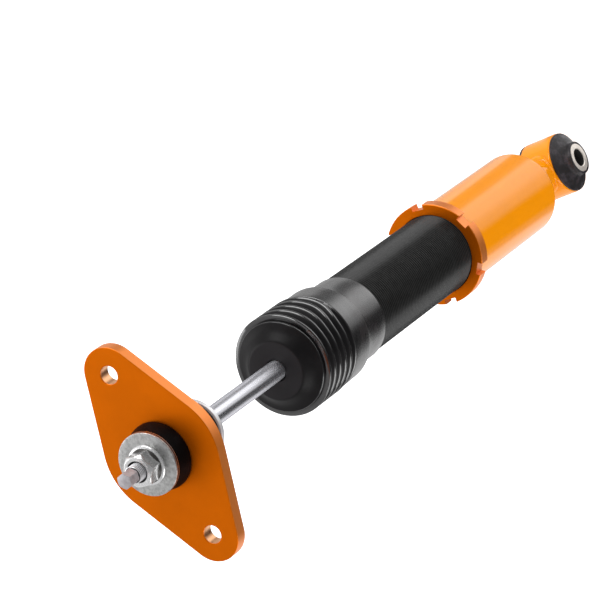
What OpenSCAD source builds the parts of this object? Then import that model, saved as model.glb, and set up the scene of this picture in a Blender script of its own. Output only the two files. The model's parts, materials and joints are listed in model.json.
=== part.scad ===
// Rear coilover damper with a screwed, height adjustable lower mount.
// Upright frame in millimetres: the axis of the lower eye is Y, its middle is
// the origin, and +Z runs up the rod to the top plate.

/* [Lower eye] */
// Bore of the inner sleeve, for a 12 mm bolt
eye_bore_d = 12.2; // [10.2:0.1:14.2]
// Outside of the inner sleeve
eye_sleeve_d = 20; // [18:0.5:22]
// Length of the inner sleeve
eye_sleeve_len = 45; // [40:0.5:56]
// Outside of the eye tube
eye_tube_d = 42; // [39:0.5:46]
// Wall of the eye tube
eye_tube_wall = 2.5; // [2:0.1:3.2]
// Length of the eye tube
eye_tube_len = 24; // [20:0.5:30]
// Wall of the steel shell round the rubber
eye_shell_wall = 1.5; // [1:0.1:2]
// How far the rubber flange stays inside the rim of the eye tube
eye_flange_inset = 0.8; // [0.3:0.1:2]
// Thickness of that flange at its rim
eye_flange_t = 1.3; // [0.8:0.1:2.4]
// Rubber wall round the ends of the sleeve
eye_boss_wall = 0.8; // [0.5:0.1:1.5]
// Length of the straight rubber round each end of the sleeve
eye_boss_len = 3.8; // [2:0.1:5]
// Length of sleeve that stands proud of the rubber at each end
eye_sleeve_proud = 0.4; // [0.2:0.1:1]

/* [Lower mount] */
// Height of the closed end of the cup above the eye
cup_offset = 58; // [50:1:70]
// Wall of the cup round its thread
cup_wall = 2.3; // [1.8:0.1:4]
// Thickness of the closed end
cup_floor_t = 6; // [4:0.5:10]
// Rounding of the outer edge of the closed end
cup_edge_r = 4; // [2:0.5:5]
// Height adjustment each way from the middle
adjust_travel = 30; // [20:2:40]
// Depth left under the tube at the lowest setting
adjust_spare = 12; // [6:1:20]
// Length of tube inside the cup at the middle setting
tube_engagement = 74; // [60:1:90]
// How far the neck stays inside each end of the eye tube
neck_inset = 0.5; // [0.3:0.1:3]
// Diameter of the foot of the neck on the cup
neck_foot_d = 36; // [32:0.5:40]
// Height of the straight foot
neck_foot_h = 5; // [3:0.5:8]
// Height of the flare between the foot and the neck
neck_flare_h = 10; // [6:0.5:14]
// Leg of the weld between the foot and the cup
foot_weld_leg = 4; // [3:0.5:5]
// Width of the weld bead round the eye
eye_weld_w = 3; // [2:0.25:4]

/* [Lock ring] */
// Outside of the lock ring
ring_d = 66.8; // [62:0.2:72]
// Thickness of the lock ring
ring_h = 8.5; // [6:0.5:12]
// Spanner slots in the rim
ring_slots = 6; // [4:1:8]
// Width of a spanner slot
ring_slot_w = 8; // [6:0.5:10]
// Depth of a spanner slot
ring_slot_depth = 3.3; // [2:0.1:4]
// Turn of the first slot from +X
ring_turn = 53.5; // [0:0.5:60]
// Chamfer of the edges of the ring
ring_chamfer = 0.5; // [0.2:0.1:1]

/* [Damper tube] */
// Outside of the threaded tube
tube_d = 52; // [48:0.5:56]
// Wall of the tube
tube_wall = 3; // [2.5:0.1:4]
// Pitch of the outside thread
thread_pitch = 2; // [1.5:0.5:3]
// Depth of the outside thread
thread_depth = 0.8; // [0.5:0.1:1.2]
// Chamfer at the top of the tube
tube_chamfer = 1; // [0.5:0.1:1.5]
// Plain length at each end of the thread
thread_relief = 3; // [1:0.5:6]
// Length of the gas chamber under the floating piston
gas_len = 47; // [30:1:70]
// Height of the base plug
plug_h = 14; // [10:1:20]
// Head of the filling screw in the base plug
fill_head_d = 10; // [8:0.5:12]
// Thread of the filling screw
fill_screw_d = 6; // [4:0.5:7]

/* [Rod guide] */
// Height of the rod guide
guide_h = 24; // [20:1:32]
// Land of tube above the retaining ring
guide_land = 3.5; // [2.5:0.5:6]
// Thickness of the retaining ring
clip_t = 1.5; // [1:0.1:2]
// Gap between the ends of the retaining ring
clip_gap = 6; // [4:0.5:10]
// Depth of the retaining ring in the tube wall
clip_bite = 1.2; // [0.8:0.1:1.5]
// Diameter of the seal pocket in the guide
seal_d = 22; // [20:0.5:26]
// Height of the rod seal
seal_h = 6; // [4:0.5:7]
// Height of the rod wiper
wiper_h = 6; // [4:0.5:7]
// Height of the wiper lip above the guide
wiper_lip_h = 3; // [1.5:0.5:4]
// Thickness of a sealing cord
o_ring_t = 3; // [2:0.1:3.4]

/* [Rod and piston] */
// Diameter of the piston rod
rod_d = 12; // [11:0.5:14]
// Length of the damper's stroke
stroke_len = 90; // [60:1:110]
// Thread of the rod that shows below the piston nut
rod_tail = 2; // [1:0.5:5]
// Room between the rod's lower shoulder and the stop ring
shoulder_gap = 2.4; // [1:0.2:6]
// Height of the rebound stop round the rod
rebound_stop_h = 10; // [6:0.5:14]
// Diameter of the rebound stop
rebound_stop_d = 30; // [24:1:36]
// Thickness of the stop ring under it
stop_ring_t = 1.6; // [1:0.1:2.4]
// Depth of the stop ring's groove in the rod
stop_groove = 1; // [0.5:0.1:1.5]
// Height of the piston
piston_h = 20; // [16:1:26]
// Ports through the piston
piston_ports = 6; // [4:1:8]
// Diameter of a port
port_d = 3.6; // [2:0.2:5]
// Height of the low friction band round the piston
piston_band_h = 12; // [8:0.5:14]
// Depth of the band's groove in the piston
band_depth = 1.2; // [0.8:0.1:2]
// Gap between the bare piston and the tube
piston_gap = 0.4; // [0.2:0.1:0.8]
// Thickness of one valve shim
shim_t = 0.7; // [0.4:0.1:1]
// Shims in each stack
shims = 3; // [2:1:4]
// Diameter of the largest shim
shim_d = 36; // [34:1:38]
// How much narrower each shim is than the one before it, on the radius
shim_step = 4; // [2:0.5:5]
// Thread of the rod inside the piston
piston_stud_d = 8; // [7:0.5:9]
// Height of the piston nut
piston_nut_h = 8; // [6:0.5:10]
// Width across flats of the piston nut
piston_nut_af = 13; // [12:0.5:15]
// Height of the floating piston
float_h = 18; // [14:1:24]
// Diameter of the dish under the floating piston
float_dish_d = 32; // [24:1:36]
// Depth of that dish
float_dish_h = 6; // [3:0.5:8]
// Room left between the rod end and the floating piston
float_room = 10; // [8:1:16]

/* [Dust boot] */
// Length of tube covered by the boot
boot_grip = 50.5; // [44:0.5:56]
// Wall of the thin cuff on the tube
cuff_wall = 0.8; // [0.6:0.1:2]
// Break of the boot's edges
boot_edge = 1; // [0.5:0.1:1.5]
// Height of the thin cuff
cuff_h = 26.5; // [20:0.5:32]
// Outside of the smooth band where it meets the cuff
band_d = 60.6; // [58:0.2:64]
// Height of the smooth band
band_h = 19.3; // [14:0.1:26]
// How much wider the band is at its upper end, on the radius
band_flare = 0.4; // [0:0.1:1]
// Outside of the ribs
rib_d = 62.4; // [60:0.2:66]
// Outside of the rim of the end face
boot_face_d = 55.6; // [53:0.2:58]
// Ribs between the band and the end face
ribs = 5; // [3:1:7]
// Distance from rib to rib
rib_pitch = 6.4; // [5:0.1:7]
// Rounding of the crests of the ribs
rib_round = 1.2; // [0.8:0.1:1.6]
// Depth of the grooves between the ribs
rib_depth = 2.4; // [1:0.1:2.6]
// Height of the rim of the end face above the last rib
face_rise = 3.8; // [3:0.1:6]
// Rounding of the rim of the end face
face_round = 1.2; // [0.5:0.1:2]
// Height of the nose above the rim of the end face
nose_h = 6.2; // [4:0.1:10]
// Diameter of the flat of the nose
nose_d = 35.2; // [30:0.2:40]
// Wall of the boot at the bottom of its grooves
boot_wall = 3.8; // [3:0.1:5]
// Thickness of the end face
boot_face_t = 3.5; // [2.5:0.1:5]
// Hole for the rod
boot_hole_d = 14.4; // [13:0.2:18]
// Room between the nose and the washer at full bump
bump_room = 2.2; // [1:0.1:6]

/* [Top mount] */
// Thickness of the top plate
plate_t = 8; // [6:0.5:10]
// Distance between the two bolt holes
plate_hole_span = 102; // [96:1:110]
// Diameter of the bolt holes
plate_hole_d = 10.5; // [9:0.5:12]
// Diameter of the round middle of the plate
plate_middle_d = 73.5; // [68:0.5:80]
// Diameter of the round ends of the plate
plate_end_d = 31.8; // [28:0.2:36]
// Hole for the rubber in the middle of the plate
plate_bush_d = 24; // [22:0.5:26]
// Turn of the plate about the rod, from +X
plate_turn = 8.5; // [-90:0.5:90]
// Break of the plate's edges
plate_edge = 0.6; // [0.2:0.1:1]
// Outside of the rubber bushes where they meet the plate
bush_d = 39.6; // [36:0.2:44]
// Outside of the rubber bushes where they meet their washers
bush_free_d = 35.2; // [32:0.2:36.4]
// Height of the bush under the plate
lower_bush_h = 27.2; // [16:0.2:34]
// Height of the bush above the plate
upper_bush_h = 11; // [8:0.5:16]
// Rounding of the edges of the bushes
bush_edge_r = 1.2; // [0.5:0.1:2]
// Outside of the crush sleeve through the bushes
crush_d = 16; // [14:0.5:18]
// Outside of the washers
washer_d = 36.4; // [32:0.2:40]
// Thickness of the washers
washer_t = 2.8; // [2:0.1:4]
// Thread of the rod through the top mount
stud_d = 10; // [8:0.5:10.5]
// Width across flats of the top nut
nut_af = 17; // [15:0.5:18]
// Height of the top nut
nut_h = 10.8; // [8:0.2:12]
// Chamfer of the corners of the top nut
nut_chamfer = 1.2; // [0.6:0.1:2]
// Turn of the top nut, from +X
nut_turn = 24; // [0:1:60]
// Outside of the flange of the top nut
nut_flange_d = 22.8; // [21:0.2:27]
// Thickness of that flange at its rim
nut_flange_t = 1.6; // [1:0.1:2.4]
// Rise of the flange from its rim to the hexagon
skirt_h = 2; // [1:0.1:3]
// Thread that shows above the nut
stud_show = 5; // [2:0.2:8]
// Length of the hexagonal wrench tip of the rod
tip_len = 8.4; // [6:0.2:14]
// Width across flats of the wrench tip
tip_af = 8; // [5:0.5:8.5]
// Turn of the wrench tip, from +X
tip_turn = 47; // [0:1:60]

/* [Fits] */
// Radial clearance of parts that slide or turn on each other
running_fit = 0.05; // [0.02:0.01:0.1]
// Radial clearance of the cup and the lock ring on the thread crests
thread_fit = 0.1; // [0.05:0.01:0.1]
// Gap round soft parts that must not rub
soft_gap = 0.3; // [0.2:0.1:1]

/* [Hidden] */
$fn = 96;

// Radii that several parts share
sleeve_r = eye_sleeve_d / 2;
neck_r = eye_tube_len / 2 - neck_inset;
tube_r = tube_d / 2;
bore_r = tube_r - tube_wall;
rod_r = rod_d / 2;
stud_r = stud_d / 2;
thread_bore_r = tube_r + thread_fit;
cup_r = thread_bore_r + cup_wall;
seal_r = seal_d / 2;
cavity_r = rib_d / 2 - rib_depth - boot_wall;

// Heights, from the eye upwards
cup_h = cup_floor_t + adjust_spare + adjust_travel + tube_engagement;
cup_top = cup_offset + cup_h;
tube_z = cup_top - tube_engagement;
shim_stack = shims * shim_t;
float_z = tube_z + plug_h + gas_len;
rod_end_z = float_z + float_h + float_room + stroke_len;
piston_z = rod_end_z + rod_tail + piston_nut_h + shim_stack;
shoulder_z = piston_z + piston_h + shim_stack;
stop_ring_z = shoulder_z + shoulder_gap;
rebound_stop_z = stop_ring_z + stop_ring_t;
guide_z = rebound_stop_z + rebound_stop_h;
clip_z = guide_z + guide_h;
tube_top = clip_z + clip_t + guide_land;

cuff_z = tube_top - boot_grip;
band_z = cuff_z + cuff_h;
rib_z = band_z + band_h;
face_z = rib_z + ribs * rib_pitch + face_rise;
nose_z = face_z + nose_h;

low_washer_z = nose_z + bump_room + stroke_len;
low_bush_z = low_washer_z + washer_t;
plate_z = low_bush_z + lower_bush_h;
plate_top = plate_z + plate_t;
top_washer_z = plate_top + running_fit + upper_bush_h;
nut_z = top_washer_z + washer_t;
stud_top = nut_z + nut_h + stud_show;

// ---- shapes that repeat ------------------------------------------------

// A round tube from z to z + h
module ring_body(z, h, outer_r, inner_r) {
    translate([0, 0, z]) difference() {
        cylinder(h = h, r = outer_r);
        translate([0, 0, -1]) cylinder(h = h + 2, r = inner_r);
    }
}

// The same along the axis of the eye, centred on it
module eye_ring(len, outer_r, inner_r) {
    rotate([90, 0, 0]) translate([0, 0, -len / 2]) difference() {
        cylinder(h = len, r = outer_r);
        translate([0, 0, -1]) cylinder(h = len + 2, r = inner_r);
    }
}

// A sealing cord in a groove just inside the radius r, at the height z
module sealing_cord(z, r) {
    translate([0, 0, z]) rotate_extrude() translate([r - o_ring_t / 2, 0]) circle(d = o_ring_t);
}

// The groove that holds that cord
module cord_groove(z, r) {
    groove_h = o_ring_t + 2 * soft_gap;
    translate([0, 0, z - groove_h / 2]) difference() {
        cylinder(h = groove_h, r = r + 1);
        cylinder(h = groove_h, r = r - o_ring_t);
    }
}

// Points of a rounded corner: centre, radius, first and last angle
function corner(c, r, a0, a1, steps = 6) =
    [for (i = [0 : steps]) c + r * [cos(a0 + (a1 - a0) * i / steps), sin(a0 + (a1 - a0) * i / steps)]];

// Stack of shims that gets smaller away from the piston; dir is 1 up, -1 down
module shim_stack_body(z, dir) {
    for (i = [0 : shims - 1])
        ring_body(
            z + (dir > 0 ? i : -i - 1) * shim_t, shim_t,
            shim_d / 2 - i * shim_step, piston_stud_d / 2
        );
}

// ---- lower eye ---------------------------------------------------------

module bush_sleeve() {
    color("silver") eye_ring(eye_sleeve_len, sleeve_r, eye_bore_d / 2);
}

module eye_tube() {
    color("orange") eye_ring(eye_tube_len, eye_tube_d / 2, eye_tube_d / 2 - eye_tube_wall);
}

module bush_shell() {
    r = eye_tube_d / 2 - eye_tube_wall;
    color("dimgray") eye_ring(eye_tube_len, r, r - eye_shell_wall);
}

// Half of the bush's section: radius outwards, distance along the eye
module bush_rubber() {
    shell_r = eye_tube_d / 2 - eye_tube_wall - eye_shell_wall;
    inner_r = sleeve_r + running_fit;
    boss_r = inner_r + eye_boss_wall;
    flange_r = eye_tube_d / 2 - eye_flange_inset;
    flange_y = eye_tube_len / 2;
    end_y = eye_sleeve_len / 2 - eye_sleeve_proud;
    half = [
        [shell_r, flange_y], [flange_r, flange_y], [flange_r, flange_y + eye_flange_t],
        [boss_r + 1, end_y - eye_boss_len], [boss_r, end_y - eye_boss_len + 1],
        [boss_r, end_y], [inner_r, end_y]
    ];
    last = len(half) - 1;
    other = [for (i = [last : -1 : 0]) [half[i][0], -half[i][1]]];
    color("#242424") rotate([90, 0, 0]) rotate_extrude() polygon(concat(half, other));
}

// ---- lower mount -------------------------------------------------------

// Turned neck, saddled on the eye tube
module mount_neck() {
    foot_z = cup_offset - neck_foot_h;
    color("orange") difference() {
        rotate_extrude() polygon([
            [0, 0], [neck_r, 0], [neck_r, foot_z - neck_flare_h],
            [neck_foot_d / 2, foot_z], [neck_foot_d / 2, cup_offset], [0, cup_offset]
        ]);
        rotate([90, 0, 0]) cylinder(h = 4 * eye_tube_len, r = eye_tube_d / 2, center = true);
        translate([0, 0, -eye_tube_d]) cylinder(h = eye_tube_d, r = 2 * neck_r);
    }
}

module mount_cup() {
    color("orange") difference() {
        translate([0, 0, cup_offset]) rotate_extrude() polygon(concat(
            [[0, 0]],
            corner([cup_r - cup_edge_r, cup_edge_r], cup_edge_r, -90, 0),
            [[cup_r, cup_h], [0, cup_h]]
        ));
        translate([0, 0, cup_offset + cup_floor_t]) cylinder(h = cup_h, r = thread_bore_r);
    }
}

module foot_weld() {
    r = neck_foot_d / 2;
    bulge = foot_weld_leg * 0.12;
    color("darkorange") rotate_extrude() polygon([
        [r, cup_offset], [r, cup_offset - foot_weld_leg],
        [r + foot_weld_leg / 2 + bulge, cup_offset - foot_weld_leg / 2 - bulge],
        [r + foot_weld_leg, cup_offset]
    ]);
}

// Bead in the corner between the neck and the eye tube; it stops at the tube's ends
module eye_weld() {
    eye_r = eye_tube_d / 2;
    color("darkorange") difference() {
        intersection() {
            cylinder(h = 2 * eye_r, r = neck_r + eye_weld_w);
            rotate([90, 0, 0]) cylinder(h = eye_tube_len, r = eye_r + eye_weld_w, center = true);
        }
        rotate([90, 0, 0]) cylinder(h = 2 * eye_tube_len, r = eye_r, center = true);
        cylinder(h = 4 * eye_r, r = neck_r);
    }
}

// ---- lock ring ---------------------------------------------------------

module lock_ring() {
    r = ring_d / 2;
    c = ring_chamfer;
    color("darkorange") difference() {
        translate([0, 0, cup_top]) rotate_extrude() polygon([
            [thread_bore_r, c], [thread_bore_r + c, 0], [r - c, 0], [r, c],
            [r, ring_h - c], [r - c, ring_h], [thread_bore_r + c, ring_h], [thread_bore_r, ring_h - c]
        ]);
        for (i = [0 : ring_slots - 1])
            rotate([0, 0, ring_turn + i * 360 / ring_slots])
                translate([r - ring_slot_depth, -ring_slot_w / 2, cup_top - 1])
                    cube([2 * ring_slot_depth, ring_slot_w, ring_h + 2]);
    }
}

// ---- damper tube -------------------------------------------------------

// Thread as parallel grooves: crests at tube_r, one groove for each turn
module damper_tube() {
    first = tube_z + thread_relief;
    turns = floor((tube_top - guide_land - thread_relief - first) / thread_pitch);
    profile = [for (i = [0 : turns - 1]) let (z = first + i * thread_pitch)
        for (p = [[tube_r, z], [tube_r - thread_depth, z + thread_pitch / 2], [tube_r, z + thread_pitch]])
            if (i == 0 || p[1] > z) p];
    color("#1c1c1e") difference() {
        rotate_extrude() polygon(concat(
            [[bore_r, tube_z], [tube_r - thread_depth, tube_z]],
            profile,
            [[tube_r, tube_top - tube_chamfer], [tube_r - tube_chamfer, tube_top], [bore_r, tube_top]]
        ));
        ring_body(clip_z, clip_t, bore_r + clip_bite, bore_r - 1);
    }
}

module base_plug() {
    head_z = tube_z + fill_head_d / 2;
    color("gray") difference() {
        translate([0, 0, tube_z]) cylinder(h = plug_h, r = bore_r);
        cord_groove(tube_z + plug_h / 2, bore_r);
        translate([0, 0, tube_z - 1]) cylinder(h = head_z - tube_z + 1, r = fill_head_d / 2 + soft_gap);
        translate([0, 0, tube_z]) cylinder(h = plug_h + 1, r = fill_screw_d / 2);
    }
}

module base_seal_ring() {
    color("#202020") sealing_cord(tube_z + plug_h / 2, bore_r);
}

module filling_screw() {
    head_h = fill_head_d / 2;
    color("silver") difference() {
        translate([0, 0, tube_z]) union() {
            cylinder(h = head_h, r = fill_head_d / 2);
            cylinder(h = plug_h, r = fill_screw_d / 2);
        }
        translate([0, 0, tube_z - 1]) cylinder(h = head_h - 1, d = fill_head_d / 2, $fn = 6);
    }
}

// ---- rod guide ---------------------------------------------------------

module rod_guide() {
    color("#8a8c90") difference() {
        translate([0, 0, guide_z]) cylinder(h = guide_h, r = bore_r);
        translate([0, 0, guide_z - 1]) cylinder(h = guide_h + 2, r = rod_r + running_fit);
        translate([0, 0, guide_z + guide_h - seal_h - wiper_h]) cylinder(h = guide_h, r = seal_r);
        cord_groove(guide_z + guide_h / 3, bore_r);
    }
}

module guide_seal_ring() {
    color("#202020") sealing_cord(guide_z + guide_h / 3, bore_r);
}

module rod_seal() {
    z = guide_z + guide_h - wiper_h - seal_h;
    color("#2b2b2b") ring_body(z, seal_h, seal_r, rod_r + running_fit);
}

module rod_wiper() {
    z = guide_z + guide_h - wiper_h;
    r = rod_r + running_fit;
    color("#303030") rotate_extrude() polygon([
        [r, z], [seal_r, z], [seal_r, z + wiper_h], [r + 3, z + wiper_h],
        [r + 1, z + wiper_h + wiper_lip_h], [r, z + wiper_h + wiper_lip_h]
    ]);
}

// Open ring in the groove near the top of the tube
module guide_clip() {
    color("#55585c") difference() {
        ring_body(clip_z, clip_t, bore_r + clip_bite, bore_r - 2);
        translate([0, -clip_gap / 2, clip_z - 1]) cube([tube_d, clip_gap, clip_t + 2]);
    }
}

// ---- floating piston ---------------------------------------------------

module floating_piston() {
    r = bore_r - running_fit;
    color("#a7a9ac") difference() {
        translate([0, 0, float_z]) cylinder(h = float_h, r = r);
        cord_groove(float_z + float_h / 2, r);
        translate([0, 0, float_z - 1]) cylinder(h = float_dish_h + 1, d = float_dish_d);
    }
}

module floating_seal_ring() {
    color("#202020") sealing_cord(float_z + float_h / 2, bore_r - running_fit);
}

// ---- rod and piston ----------------------------------------------------

module piston_rod() {
    color("#d8dadd") difference() {
        union() {
            translate([0, 0, rod_end_z]) cylinder(h = shoulder_z - rod_end_z, r = piston_stud_d / 2);
            translate([0, 0, shoulder_z]) cylinder(h = low_washer_z - shoulder_z, r = rod_r);
            translate([0, 0, low_washer_z]) cylinder(h = stud_top - low_washer_z, r = stud_r);
            translate([0, 0, stud_top]) rotate([0, 0, tip_turn]) cylinder(h = tip_len, r = tip_af / 2 / cos(30), $fn = 6);
        }
        ring_body(stop_ring_z, stop_ring_t, rod_r + 1, rod_r - stop_groove);
    }
}

module rebound_stop() {
    color("#b9a24a") ring_body(rebound_stop_z, rebound_stop_h - soft_gap, rebound_stop_d / 2, rod_r);
}

module rebound_stop_ring() {
    color("#55585c") ring_body(stop_ring_z, stop_ring_t, rebound_stop_d / 2 - 2, rod_r - stop_groove);
}

module rebound_shims() {
    color("#c4c6c8") shim_stack_body(piston_z + piston_h, 1);
}

module compression_shims() {
    color("#c4c6c8") shim_stack_body(piston_z, -1);
}

module piston() {
    band_r = bore_r - band_depth;
    port_ring = (band_r + piston_stud_d / 2) / 2;
    color("#909296") difference() {
        translate([0, 0, piston_z]) cylinder(h = piston_h, r = bore_r - piston_gap);
        translate([0, 0, piston_z - 1]) cylinder(h = piston_h + 2, r = piston_stud_d / 2);
        ring_body(piston_z + (piston_h - piston_band_h) / 2, piston_band_h, bore_r, band_r);
        for (i = [0 : piston_ports - 1])
            rotate([0, 0, i * 360 / piston_ports])
                translate([port_ring, 0, piston_z - 1]) cylinder(h = piston_h + 2, d = port_d);
    }
}

module piston_band() {
    z = piston_z + (piston_h - piston_band_h) / 2;
    color("#4d3b28") ring_body(z, piston_band_h, bore_r - running_fit, bore_r - band_depth);
}

module piston_nut() {
    z = piston_z - shim_stack - piston_nut_h;
    color("#b0b2b5") difference() {
        translate([0, 0, z]) cylinder(h = piston_nut_h, r = piston_nut_af / 2 / cos(30), $fn = 6);
        translate([0, 0, z - 1]) cylinder(h = piston_nut_h + 2, r = piston_stud_d / 2);
    }
}

// ---- dust boot ---------------------------------------------------------

module dust_boot() {
    grip_r = tube_r + running_fit;
    cuff_r = grip_r + cuff_wall;
    band_r = band_d / 2;
    crest_r = rib_d / 2;
    groove_r = crest_r - rib_depth;
    face_r = boot_face_d / 2;
    ledge_z = tube_top + soft_gap;
    rib_points = [for (i = [1 : ribs]) let (z = rib_z + i * rib_pitch)
        for (p = concat(
                [[groove_r, z - rib_pitch / 2]],
                corner([crest_r - rib_round, z], rib_round, -75, 75, 6))) p];
    color("#1f1f21") difference() {
        rotate_extrude() polygon(concat(
            [[0, cuff_z], [cuff_r, cuff_z], [cuff_r, band_z - boot_edge]],
            [[band_r - boot_edge, band_z], [band_r, band_z + boot_edge]],
            [[band_r + band_flare, rib_z - boot_edge], [band_r, rib_z]],
            rib_points,
            [[face_r, face_z - face_rise / 2]],
            corner([face_r - face_round, face_z - face_round], face_round, 0, 75, 6),
            [[nose_d / 2 + boot_edge, nose_z - boot_edge], [nose_d / 2, nose_z], [0, nose_z]]
        ));
        rotate_extrude() polygon([
            [0, cuff_z - 1], [grip_r, cuff_z - 1], [grip_r, ledge_z], [cavity_r, ledge_z],
            [cavity_r, face_z - boot_face_t], [nose_d / 2, nose_z - boot_face_t],
            [0, nose_z - boot_face_t]
        ]);
        translate([0, 0, face_z]) cylinder(h = 4 * nose_h, r = boot_hole_d / 2, center = true);
    }
}

// Foam cushion under the end face; it backs the boot when the washer meets the nose
module bump_cushion() {
    top = face_z - boot_face_t - soft_gap;
    r = cavity_r - soft_gap;
    color("#6b6a5c") ring_body(tube_top, top - tube_top, r, boot_hole_d / 2 + soft_gap);
}

// ---- top mount ---------------------------------------------------------

module washer(z) {
    ring_body(z, washer_t, washer_d / 2, stud_r);
}

module lower_washer() {
    color("#c9cacb") washer(low_washer_z);
}

module upper_washer() {
    color("#c9cacb") washer(top_washer_z);
}

module crush_sleeve() {
    color("#9b9da0") ring_body(low_bush_z, top_washer_z - low_bush_z, crush_d / 2, stud_r);
}

// Section of a tapered, rounded bush of height h with a spigot into the plate
module bush_section(h, spigot) {
    wide = bush_d / 2;
    narrow = bush_free_d / 2;
    b = bush_edge_r;
    spigot_r = plate_bush_d / 2 - thread_fit;
    polygon(concat(
        [[crush_d / 2, 0]],
        corner([narrow - b, b], b, -90, 0),
        corner([wide - b, h - b], b, 0, 90),
        [[spigot_r, h], [spigot_r, h + spigot], [crush_d / 2, h + spigot]]
    ));
}

module lower_bush() {
    color("#1b1b1b") translate([0, 0, low_bush_z]) rotate_extrude() bush_section(lower_bush_h, plate_t / 2);
}

module upper_bush() {
    color("#1b1b1b") translate([0, 0, top_washer_z]) rotate_extrude() mirror([0, 1])
        bush_section(upper_bush_h, plate_t / 2);
}

module top_nut() {
    corner_r = nut_af / 2 / cos(30);
    cone_z = nut_z + nut_flange_t;
    color("#c4c5c6") difference() {
        union() {
            rotate_extrude() polygon([
                [0, nut_z], [nut_flange_d / 2, nut_z], [nut_flange_d / 2, cone_z],
                [nut_af / 2 - nut_flange_t, cone_z + skirt_h], [0, cone_z + skirt_h]
            ]);
            intersection() {
                translate([0, 0, nut_z]) rotate([0, 0, nut_turn])
                    cylinder(h = nut_h, r = corner_r, $fn = 6);
                rotate_extrude() polygon([
                    [0, nut_z], [corner_r, nut_z], [corner_r, nut_z + nut_h - nut_chamfer],
                    [corner_r - nut_chamfer, nut_z + nut_h], [0, nut_z + nut_h]
                ]);
            }
        }
        translate([0, 0, nut_z - 1]) cylinder(h = nut_h + 2, r = stud_r);
    }
}

// Outline of the plate, grown by g: a round middle, two round ends and their tangents
module plate_outline(g) {
    big = plate_middle_d / 2 + g;
    small = plate_end_d / 2 + g;
    reach = plate_hole_span / 2;
    a = acos((big - small) / reach);
    circle(r = big);
    for (side = [-1, 1]) {
        translate([side * reach, 0]) circle(r = small);
        polygon([
            [side * big * cos(a), big * sin(a)], [side * (reach + small * cos(a)), small * sin(a)],
            [side * (reach + small * cos(a)), -small * sin(a)], [side * big * cos(a), -big * sin(a)]
        ]);
    }
}

module top_plate() {
    inner_t = plate_t - 2 * plate_edge;
    color("darkorange") difference() {
        rotate([0, 0, plate_turn]) difference() {
            union() {
                translate([0, 0, plate_z]) linear_extrude(plate_t) plate_outline(-plate_edge);
                translate([0, 0, plate_z + plate_edge]) linear_extrude(inner_t) plate_outline(0);
            }
            for (side = [-1, 1])
                translate([side * plate_hole_span / 2, 0, plate_z - 1])
                    cylinder(h = plate_t + 2, d = plate_hole_d);
        }
        translate([0, 0, plate_z - 1]) cylinder(h = plate_t + 2, r = plate_bush_d / 2);
    }
}

// ---- the parts ---------------------------------------------------------

bush_sleeve();
eye_tube();
bush_shell();
bush_rubber();
mount_neck();
mount_cup();
foot_weld();
eye_weld();
lock_ring();
dust_boot();
bump_cushion();
damper_tube();
base_plug();
base_seal_ring();
filling_screw();
rod_guide();
guide_seal_ring();
rod_seal();
rod_wiper();
guide_clip();
floating_piston();
floating_seal_ring();
piston_rod();
rebound_stop();
rebound_stop_ring();
rebound_shims();
piston();
piston_band();
compression_shims();
piston_nut();
lower_washer();
lower_bush();
crush_sleeve();
upper_bush();
upper_washer();
top_nut();
top_plate();
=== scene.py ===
"""Rear coilover damper: finishes, turned and moulded pieces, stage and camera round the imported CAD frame."""

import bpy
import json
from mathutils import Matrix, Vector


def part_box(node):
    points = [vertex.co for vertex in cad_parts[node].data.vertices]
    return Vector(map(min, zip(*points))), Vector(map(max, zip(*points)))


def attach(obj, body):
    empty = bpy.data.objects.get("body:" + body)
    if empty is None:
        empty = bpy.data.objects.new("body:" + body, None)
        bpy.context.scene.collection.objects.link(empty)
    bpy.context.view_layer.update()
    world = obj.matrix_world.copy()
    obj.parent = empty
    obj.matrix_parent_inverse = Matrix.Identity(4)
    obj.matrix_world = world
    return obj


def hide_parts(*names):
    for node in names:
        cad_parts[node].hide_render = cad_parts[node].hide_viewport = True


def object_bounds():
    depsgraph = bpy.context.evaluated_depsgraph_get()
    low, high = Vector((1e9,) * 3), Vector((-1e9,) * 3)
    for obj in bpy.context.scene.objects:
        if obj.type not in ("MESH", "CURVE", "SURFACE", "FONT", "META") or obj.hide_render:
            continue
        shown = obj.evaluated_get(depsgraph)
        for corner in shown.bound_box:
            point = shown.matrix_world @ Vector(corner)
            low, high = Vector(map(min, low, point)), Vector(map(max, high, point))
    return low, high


bl_info = {
    "name": "Coilover damper dresser",
    "version": (1, 0, 0),
    "blender": (4, 5, 0),
    "location": "View3D > Sidebar > Coilover",
    "description": "Builds the rubber, threads, welds, hardware and finishes of a rear coilover damper",
    "category": "Object",
}

import json
import math

import bpy
from bpy.props import FloatProperty, FloatVectorProperty, IntProperty, PointerProperty
from mathutils import Color, Euler, Vector

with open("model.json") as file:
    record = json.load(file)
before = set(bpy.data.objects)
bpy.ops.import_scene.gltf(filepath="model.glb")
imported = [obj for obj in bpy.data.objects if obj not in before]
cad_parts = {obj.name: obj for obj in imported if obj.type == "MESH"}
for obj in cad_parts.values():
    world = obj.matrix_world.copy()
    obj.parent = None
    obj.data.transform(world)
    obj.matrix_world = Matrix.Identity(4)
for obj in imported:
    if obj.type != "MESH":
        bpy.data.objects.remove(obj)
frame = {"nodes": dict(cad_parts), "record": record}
CAD_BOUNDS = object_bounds()
NODES = frame["nodes"]
BODY_OF = {n: b for b, members in frame["record"]["behaviour"]["bodies"].items() for n in members}
SLOT_OF = {row["node"]: row["material_slot"] for row in frame["record"]["subparts"]}

MM = 0.001
TURN = 2 * math.pi
HEX_CORNER = 1 / math.cos(math.radians(30))  # corner radius of a hexagon, by half its width


def span(node):
    """Lowest z, highest z and largest radius of a node that is round about the rod axis, in mm."""
    low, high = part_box(node)
    return low.z / MM, high.z / MM, high.x / MM


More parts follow.
